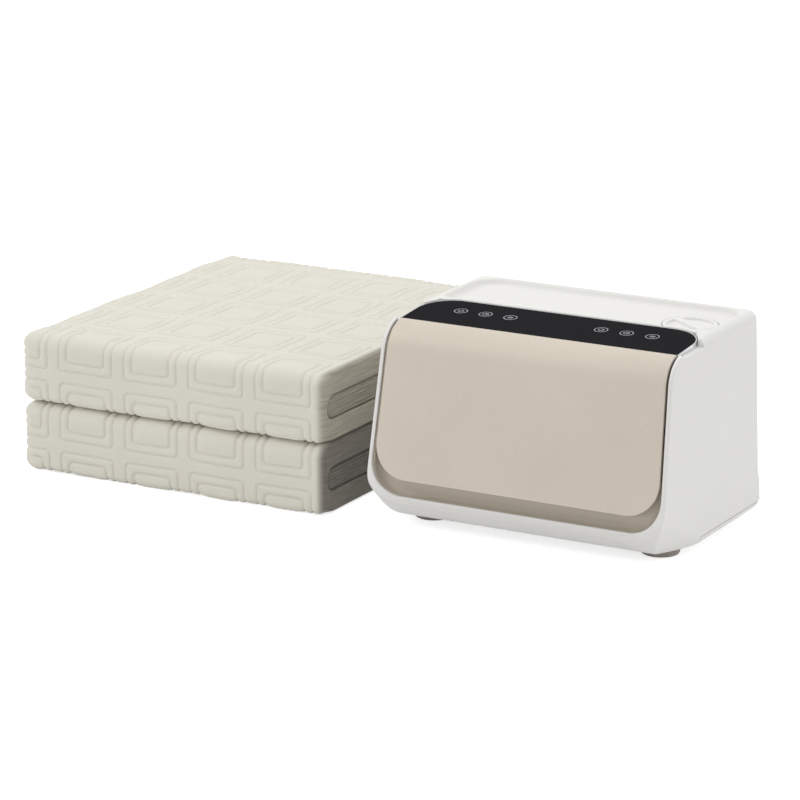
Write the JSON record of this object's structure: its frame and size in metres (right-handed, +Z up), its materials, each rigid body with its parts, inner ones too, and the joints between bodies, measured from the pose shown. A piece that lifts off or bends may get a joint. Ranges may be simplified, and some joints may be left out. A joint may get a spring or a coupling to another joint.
{
  "type": "heated water blanket set",
  "caption": "Folded quilted water blanket in two bundles beside its heating and pumping unit with touch glass, tank and hose ports.",
  "frame": {"origin": "on the floor, at the middle of the set's footprint", "axes": "+Z up, -Y to the front of the unit, +X from the blanket towards the unit"},
  "size_m": [0.6884, 0.393, 0.198],
  "materials": {
    "white_plastic": "satin moulded plastic",
    "grey_rubber": "matte",
    "champagne_panel": "fine speckled satin paint",
    "recess_grey": "matte moulded plastic",
    "black_glass": "black backed, with printed ring icons",
    "silver_frame": "satin",
    "green_board": "solder mask",
    "brass": "plain",
    "clear_plastic": "translucent moulded plastic",
    "strainer_white": "matte",
    "float_foam": "closed-cell foam",
    "natural_plastic": "uncoloured moulded plastic",
    "dark_plastic": "moulded",
    "rotor_black": "moulded over a magnet",
    "steel": "zinc plated",
    "copper_wire": "enamelled copper wire",
    "cast_aluminium": "cast",
    "black_plastic": "moulded",
    "silicone_tube": "translucent silicone",
    "coupling_grey": "moulded",
    "button_red": "moulded",
    "tape_yellow": "tape",
    "relay_blue": "moulded",
    "quilt_fabric": "soft quilted cotton velvet",
    "fold_fabric": "woven cotton, folded layers"
  },
  "bodies": {
    "unit": {"housing_shell": "white_plastic", "base_cover": "white_plastic", "rubber_feet": "grey_rubber", "front_panel": "champagne_panel", "recess_liner": "recess_grey", "touch_glass": "black_glass", "glass_frame": "silver_frame", "touch_board": "green_board", "touch_springs": "brass", "filler_neck": "clear_plastic", "strainer_basket": "strainer_white", "tank_body": "clear_plastic", "tank_lid": "clear_plastic", "float_stem": "natural_plastic", "pump_body": "dark_plastic", "pump_head": "dark_plastic", "pump_shaft": "steel", "pump_winding": "copper_wire", "pump_damper": "grey_rubber", "heater_block": "cast_aluminium", "thermal_cutout": "black_plastic", "temperature_sensors": "natural_plastic", "tank_outlet_tube": "silicone_tube", "pump_heater_tube": "silicone_tube", "heater_port_tube": "silicone_tube", "return_tube": "silicone_tube", "hose_coupling": "coupling_grey", "button_spring": "steel", "mains_inlet": "black_plastic", "mains_pins": "brass", "power_board": "green_board", "transformer": "tape_yellow", "capacitors": "black_plastic", "control_board": "green_board", "relays": "relay_blue", "buzzer": "black_plastic", "drain_spout": "silicone_tube", "housing_screws": "steel", "board_screws": "steel"},
    "fill_cap": {"fill_cap": "white_plastic", "cap_gasket": "grey_rubber"},
    "level_float": {"level_float": "float_foam"},
    "pump_rotor": {"pump_rotor": "rotor_black"},
    "release_button": {"release_button": "button_red"},
    "drain_plug": {"drain_plug": "coupling_grey", "drain_seal": "grey_rubber"},
    "lower_bundle": {"lower_quilt": "quilt_fabric", "lower_inner_fold": "fold_fabric", "lower_water_tube": "silicone_tube", "lower_manifold": "coupling_grey"},
    "upper_bundle": {"upper_quilt": "quilt_fabric", "upper_inner_fold": "fold_fabric", "upper_water_tube": "silicone_tube", "upper_manifold": "coupling_grey"}
  },
  "joints": [
    {"name": "cap_lift", "type": "slide", "parent": "unit", "child": "fill_cap", "axis": [0, 0, 1], "range_m": [0, 0.045]},
    {"name": "float_rise", "type": "slide", "parent": "unit", "child": "level_float", "axis": [0, 0, 1], "range_m": [0, 0.04]},
    {"name": "rotor_spin", "type": "hinge", "parent": "unit", "child": "pump_rotor", "pos_m": [0.267, -0.04217, 0.04], "axis": [0, 0, 1], "continuous": true},
    {"name": "release_press", "type": "slide", "parent": "unit", "child": "release_button", "axis": [0, -1, 0], "range_m": [0, 0.0025], "stiffness_N_per_m": 400},
    {"name": "drain_pull", "type": "slide", "parent": "unit", "child": "drain_plug", "axis": [0, 1, 0], "range_m": [0, 0.025]},
    {"name": "lower_bundle_lift", "type": "slide", "parent": "unit", "child": "lower_bundle", "axis": [0, 0, 1], "range_m": [0, 0.15]},
    {"name": "upper_bundle_lift", "type": "slide", "parent": "lower_bundle", "child": "upper_bundle", "axis": [0, 0, 1], "range_m": [0, 0.15]}
  ]
}
